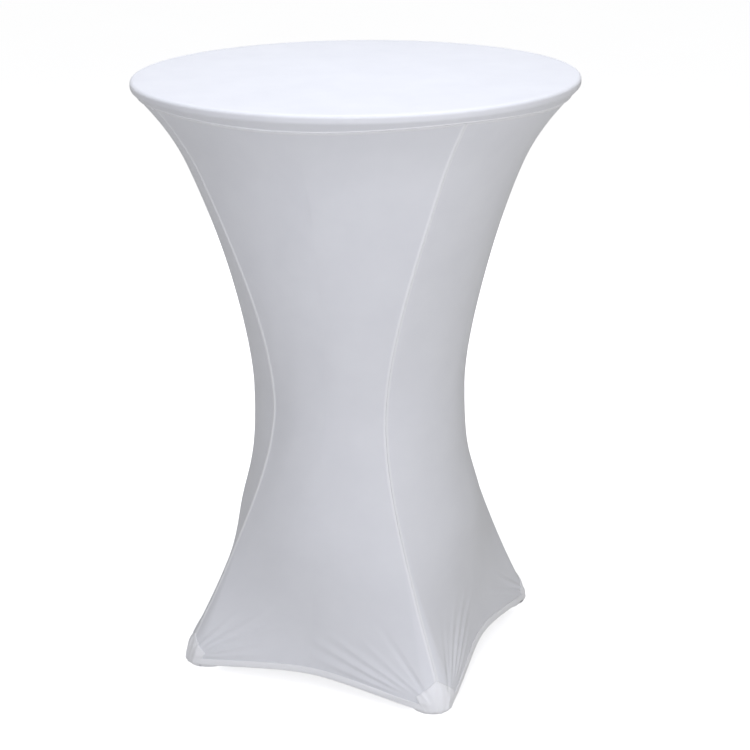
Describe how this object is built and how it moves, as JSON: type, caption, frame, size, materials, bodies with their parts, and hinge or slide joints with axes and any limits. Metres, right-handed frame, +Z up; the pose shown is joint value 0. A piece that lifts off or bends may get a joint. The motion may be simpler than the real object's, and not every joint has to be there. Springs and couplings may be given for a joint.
{
  "type": "fitted stretch table cover on a round standing table",
  "caption": "Fitted stretch cloth pulled over a round standing table, flat on top, drawn in to a waist and hooked under the feet by sewn pockets.",
  "frame": {"origin": "centre of the four feet, on the floor", "axes": "+Z up; the feet lie on the diagonals, so a side panel faces each of +X, +Y, -X and -Y"},
  "size_m": [0.8022, 0.8022, 1.1011],
  "materials": {
    "stretch_cloth": "fine knitted stretch cloth, matt",
    "doubled_cloth": "two layers of the same cloth, matt",
    "board": "plain particle board",
    "edge_plastic": "soft plastic edge",
    "painted_steel": "black powder coat",
    "cast_base": "black powder coat on casting",
    "pad_plastic": "moulded",
    "zinc_steel": "zinc plated"
  },
  "bodies": {
    "table": {"top_panel": "stretch_cloth", "side_panel_1": "stretch_cloth", "side_panel_2": "stretch_cloth", "side_panel_3": "stretch_cloth", "side_panel_4": "stretch_cloth", "hem_band_1": "doubled_cloth", "hem_band_2": "doubled_cloth", "hem_band_3": "doubled_cloth", "hem_band_4": "doubled_cloth", "foot_pocket_1": "doubled_cloth", "foot_pocket_2": "doubled_cloth", "foot_pocket_3": "doubled_cloth", "foot_pocket_4": "doubled_cloth", "table_board": "board", "edge_band": "edge_plastic", "spider_bracket": "painted_steel", "board_screw_1": "zinc_steel", "board_screw_2": "zinc_steel", "board_screw_3": "zinc_steel", "board_screw_4": "zinc_steel", "board_screw_5": "zinc_steel", "board_screw_6": "zinc_steel", "board_screw_7": "zinc_steel", "board_screw_8": "zinc_steel", "column_tube": "painted_steel", "tie_rod": "zinc_steel", "top_nut": "zinc_steel", "top_washer": "zinc_steel", "base_nut": "zinc_steel", "base_washer": "zinc_steel", "cross_base": "cast_base"},
    "glide_1": {"glide_stem_1": "zinc_steel", "glide_pad_1": "pad_plastic", "pocket_sole_1": "doubled_cloth"},
    "glide_2": {"glide_stem_2": "zinc_steel", "glide_pad_2": "pad_plastic", "pocket_sole_2": "doubled_cloth"},
    "glide_3": {"glide_stem_3": "zinc_steel", "glide_pad_3": "pad_plastic", "pocket_sole_3": "doubled_cloth"},
    "glide_4": {"glide_stem_4": "zinc_steel", "glide_pad_4": "pad_plastic", "pocket_sole_4": "doubled_cloth"}
  },
  "joints": [
    {"name": "glide_1_height", "type": "slide", "parent": "table", "child": "glide_1", "axis": [0, 0, -1], "range_m": [0, 0.008], "deforming": ["foot_pocket_1"]},
    {"name": "glide_2_height", "type": "slide", "parent": "table", "child": "glide_2", "axis": [0, 0, -1], "range_m": [0, 0.008], "deforming": ["foot_pocket_2"]},
    {"name": "glide_3_height", "type": "slide", "parent": "table", "child": "glide_3", "axis": [0, 0, -1], "range_m": [0, 0.008], "deforming": ["foot_pocket_3"]},
    {"name": "glide_4_height", "type": "slide", "parent": "table", "child": "glide_4", "axis": [0, 0, -1], "range_m": [0, 0.008], "deforming": ["foot_pocket_4"]}
  ]
}
